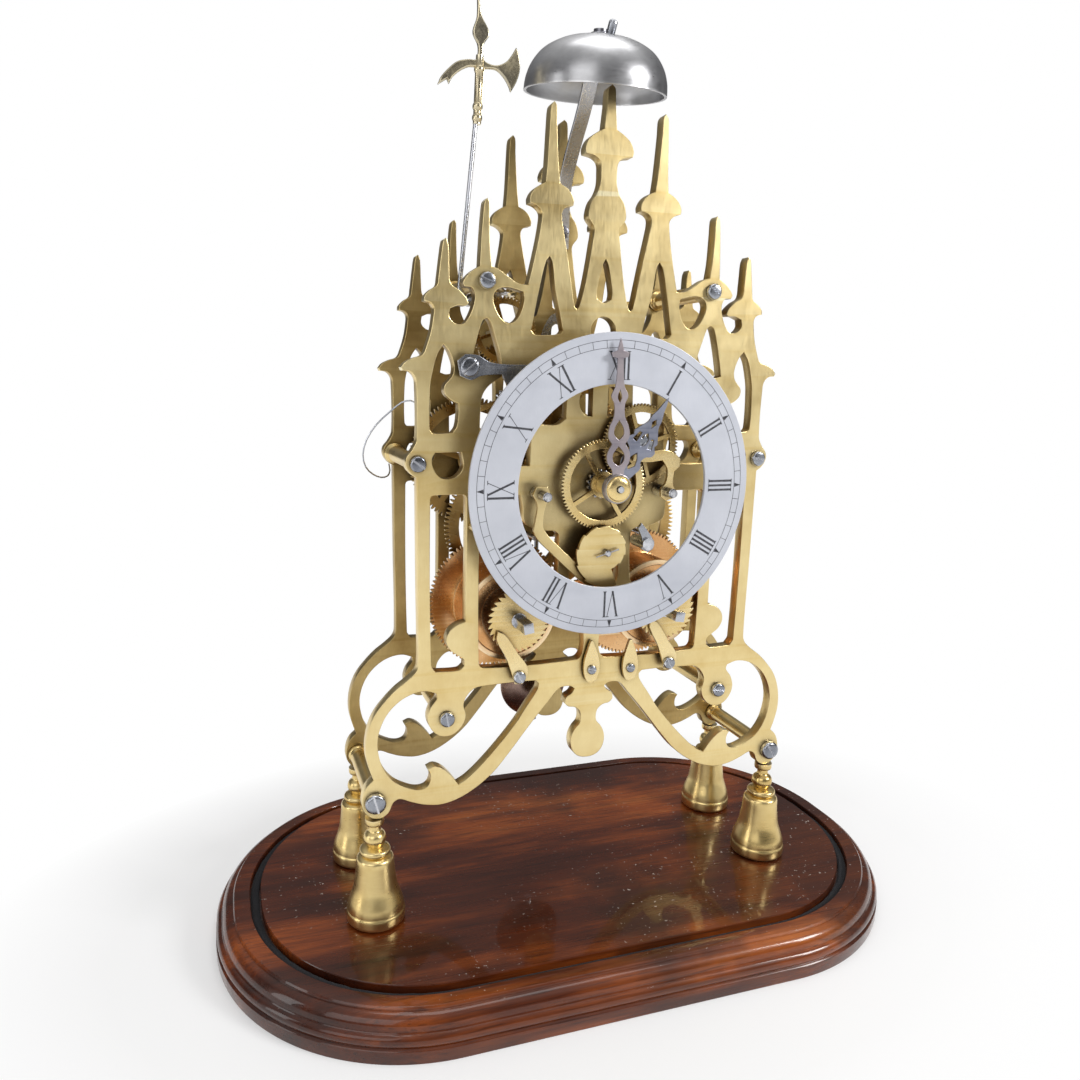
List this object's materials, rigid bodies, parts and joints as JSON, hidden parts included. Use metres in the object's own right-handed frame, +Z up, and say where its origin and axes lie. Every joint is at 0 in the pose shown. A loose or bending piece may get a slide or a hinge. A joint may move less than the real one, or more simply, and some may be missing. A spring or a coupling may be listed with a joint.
{
  "type": "skeleton clock",
  "caption": "Gothic skeleton clock: pierced brass plates, silvered chapter ring, bell on a strap, halberd hammer, pendulum, four turned feet on an oval-ended wooden base.",
  "frame": {"origin": "middle of the underside of the wooden base", "axes": "+Z up, the dial faces -Y, +X to the right as seen from the front"},
  "size_m": [0.4, 0.23, 0.4827],
  "materials": {
    "plate_brass": "satin, lacquered gold",
    "wheel_brass": "polished",
    "barrel_brass": "polished, warm",
    "steel": "polished",
    "grey_steel": "blue-grey hands",
    "bell_metal": "dull nickel grey",
    "silvered": "silvered, matt, with black numerals",
    "mahogany": "dark red, glossy varnish",
    "chenille": "black, matt"
  },
  "bodies": {
    "frame": {"front_plate": "plate_brass", "rear_plate": "plate_brass", "left_spring": "wheel_brass", "right_spring": "wheel_brass", "back_cock": "wheel_brass", "top_pillar_left": "wheel_brass", "top_screw_left": "steel", "top_pillar_right": "wheel_brass", "top_screw_right": "steel", "middle_pillar_left": "wheel_brass", "middle_screw_left": "steel", "middle_pillar_right": "wheel_brass", "middle_screw_right": "steel", "low_pillar_left": "wheel_brass", "low_screw_left": "steel", "low_pillar_right": "wheel_brass", "low_screw_right": "steel", "foot_pillar_left": "wheel_brass", "foot_screw_left": "steel", "foot_pillar_right": "wheel_brass", "foot_screw_right": "steel", "foot_front_left": "wheel_brass", "foot_front_right": "wheel_brass", "foot_rear_left": "wheel_brass", "foot_rear_right": "wheel_brass", "bell_nut": "steel", "bell_standard": "steel", "wire_loop": "steel", "bell": "bell_metal", "chapter_ring": "silvered", "wood_base": "mahogany", "groove_lining": "chenille"},
    "centre": {"centre_wheel": "wheel_brass", "minute_hand": "grey_steel", "hand_collet": "wheel_brass"},
    "hour": {"hour_wheel": "wheel_brass", "hour_hand": "grey_steel"},
    "motion": {"minute_wheel": "wheel_brass"},
    "halberd": {"halberd_hammer": "wheel_brass"},
    "snail_body": {"snail": "plate_brass"},
    "rack_body": {"rack": "plate_brass"},
    "warning_tail_body": {"warning_tail": "wheel_brass"},
    "strike_lever_body": {"strike_lever": "steel"},
    "gathering_pallet_body": {"gathering_pallet": "steel"},
    "left_ratchet_body": {"left_ratchet": "wheel_brass"},
    "right_ratchet_body": {"right_ratchet": "wheel_brass"},
    "left_barrel_body": {"left_barrel": "barrel_brass"},
    "right_barrel_body": {"right_barrel": "barrel_brass"},
    "left_click_body": {"left_click": "wheel_brass"},
    "right_click_body": {"right_click": "wheel_brass"},
    "time_first_wheel_body": {"time_first_wheel": "wheel_brass"},
    "strike_first_wheel_body": {"strike_first_wheel": "wheel_brass"},
    "third_wheel_body": {"third_wheel": "wheel_brass"},
    "escape_wheel_body": {"escape_wheel": "wheel_brass"},
    "pin_wheel_body": {"pin_wheel": "wheel_brass"},
    "locking_wheel_body": {"locking_wheel": "wheel_brass"},
    "warning_wheel_body": {"warning_wheel": "wheel_brass"},
    "fly_body": {"fly": "wheel_brass"},
    "pallets_body": {"pallets": "steel"},
    "pendulum_body": {"pendulum": "wheel_brass"}
  },
  "joints": [
    {"name": "centre_turn", "type": "hinge", "parent": "frame", "child": "centre", "pos_m": [0, -0.0378, 0.2542], "axis": [0, -1, 0], "continuous": true},
    {"name": "hour_turn", "type": "hinge", "parent": "frame", "child": "hour", "pos_m": [0, -0.0378, 0.2542], "axis": [0, -1, 0], "continuous": true},
    {"name": "motion_turn", "type": "hinge", "parent": "frame", "child": "motion", "pos_m": [0.0218, -0.0378, 0.2737], "axis": [0, -1, 0], "continuous": true},
    {"name": "snail_turn", "type": "hinge", "parent": "frame", "child": "snail_body", "pos_m": [0.001, -0.0378, 0.2197], "axis": [0, -1, 0], "continuous": true},
    {"name": "rack_swing", "type": "hinge", "parent": "frame", "child": "rack_body", "pos_m": [-0.034, -0.0378, 0.25], "axis": [0, -1, 0], "range_deg": [-6, 0]},
    {"name": "warning_tail_swing", "type": "hinge", "parent": "frame", "child": "warning_tail_body", "pos_m": [0.0345, -0.0378, 0.25], "axis": [0, -1, 0], "range_deg": [-3, 3]},
    {"name": "strike_lever_swing", "type": "hinge", "parent": "frame", "child": "strike_lever_body", "pos_m": [-0.071, -0.0378, 0.3116], "axis": [0, -1, 0], "range_deg": [-4, 4]},
    {"name": "gathering_pallet_turn", "type": "hinge", "parent": "frame", "child": "gathering_pallet_body", "pos_m": [0.023, -0.0378, 0.2237], "axis": [0, -1, 0], "continuous": true},
    {"name": "left_winding_turn", "type": "hinge", "parent": "frame", "child": "left_ratchet_body", "pos_m": [-0.0425, -0.0378, 0.1842], "axis": [0, -1, 0], "continuous": true},
    {"name": "left_barrel_turn", "type": "hinge", "parent": "frame", "child": "left_barrel_body", "pos_m": [-0.0425, -0.0378, 0.1842], "axis": [0, -1, 0], "continuous": true},
    {"name": "right_winding_turn", "type": "hinge", "parent": "frame", "child": "right_ratchet_body", "pos_m": [0.0425, -0.0378, 0.1842], "axis": [0, -1, 0], "continuous": true},
    {"name": "right_barrel_turn", "type": "hinge", "parent": "frame", "child": "right_barrel_body", "pos_m": [0.0425, -0.0378, 0.1842], "axis": [0, -1, 0], "continuous": true},
    {"name": "left_click_swing", "type": "hinge", "parent": "frame", "child": "left_click_body", "pos_m": [-0.0425, -0.0378, 0.1544], "axis": [0, -1, 0], "range_deg": [-4, 4]},
    {"name": "right_click_swing", "type": "hinge", "parent": "frame", "child": "right_click_body", "pos_m": [0.0445, -0.0378, 0.1544], "axis": [0, -1, 0], "range_deg": [-4, 4]},
    {"name": "time_first_turn", "type": "hinge", "parent": "frame", "child": "time_first_wheel_body", "pos_m": [0.0313, -0.0378, 0.2252], "axis": [0, -1, 0], "continuous": true},
    {"name": "strike_first_turn", "type": "hinge", "parent": "frame", "child": "strike_first_wheel_body", "pos_m": [-0.0313, -0.0378, 0.2252], "axis": [0, -1, 0], "continuous": true},
    {"name": "third_turn", "type": "hinge", "parent": "frame", "child": "third_wheel_body", "pos_m": [0, -0.0378, 0.2837], "axis": [0, -1, 0], "continuous": true},
    {"name": "escape_turn", "type": "hinge", "parent": "frame", "child": "escape_wheel_body", "pos_m": [0, -0.0378, 0.3092], "axis": [0, -1, 0], "continuous": true},
    {"name": "pin_wheel_turn", "type": "hinge", "parent": "frame", "child": "pin_wheel_body", "pos_m": [-0.0535, -0.0378, 0.2617], "axis": [0, -1, 0], "continuous": true},
    {"name": "locking_turn", "type": "hinge", "parent": "frame", "child": "locking_wheel_body", "pos_m": [-0.0346, -0.0378, 0.2962], "axis": [0, -1, 0], "continuous": true},
    {"name": "warning_turn", "type": "hinge", "parent": "frame", "child": "warning_wheel_body", "pos_m": [-0.042, -0.0378, 0.3307], "axis": [0, -1, 0], "continuous": true},
    {"name": "fly_turn", "type": "hinge", "parent": "frame", "child": "fly_body", "pos_m": [-0.0375, -0.0378, 0.3512], "axis": [0, -1, 0], "continuous": true},
    {"name": "pallets_swing", "type": "hinge", "parent": "frame", "child": "pallets_body", "pos_m": [0, -0.0378, 0.3397], "axis": [0, -1, 0], "range_deg": [-3, 3]},
    {"name": "pendulum_swing", "type": "hinge", "parent": "frame", "child": "pendulum_body", "pos_m": [0, -0.0378, 0.3397], "axis": [0, -1, 0], "range_deg": [-3, 3]},
    {"name": "hammer_swing", "type": "hinge", "parent": "frame", "child": "halberd", "pos_m": [-0.0645, -0.0378, 0.3442], "axis": [0, -1, 0], "range_deg": [-0.5, 8]}
  ],
  "couplings": [
    {"joint": "hour_turn", "follows": "centre_turn", "ratio": 0.083333},
    {"joint": "motion_turn", "follows": "centre_turn", "ratio": -0.34579},
    {"joint": "third_turn", "follows": "centre_turn", "ratio": -5.9048},
    {"joint": "time_first_turn", "follows": "centre_turn", "ratio": -0.11053},
    {"joint": "right_barrel_turn", "follows": "centre_turn", "ratio": 0.012216},
    {"joint": "strike_first_turn", "follows": "pin_wheel_turn", "ratio": -0.11053},
    {"joint": "left_barrel_turn", "follows": "pin_wheel_turn", "ratio": 0.012216},
    {"joint": "locking_turn", "follows": "pin_wheel_turn", "ratio": -8.2381},
    {"joint": "pallets_swing", "follows": "pendulum_swing", "ratio": 1}
  ]
}
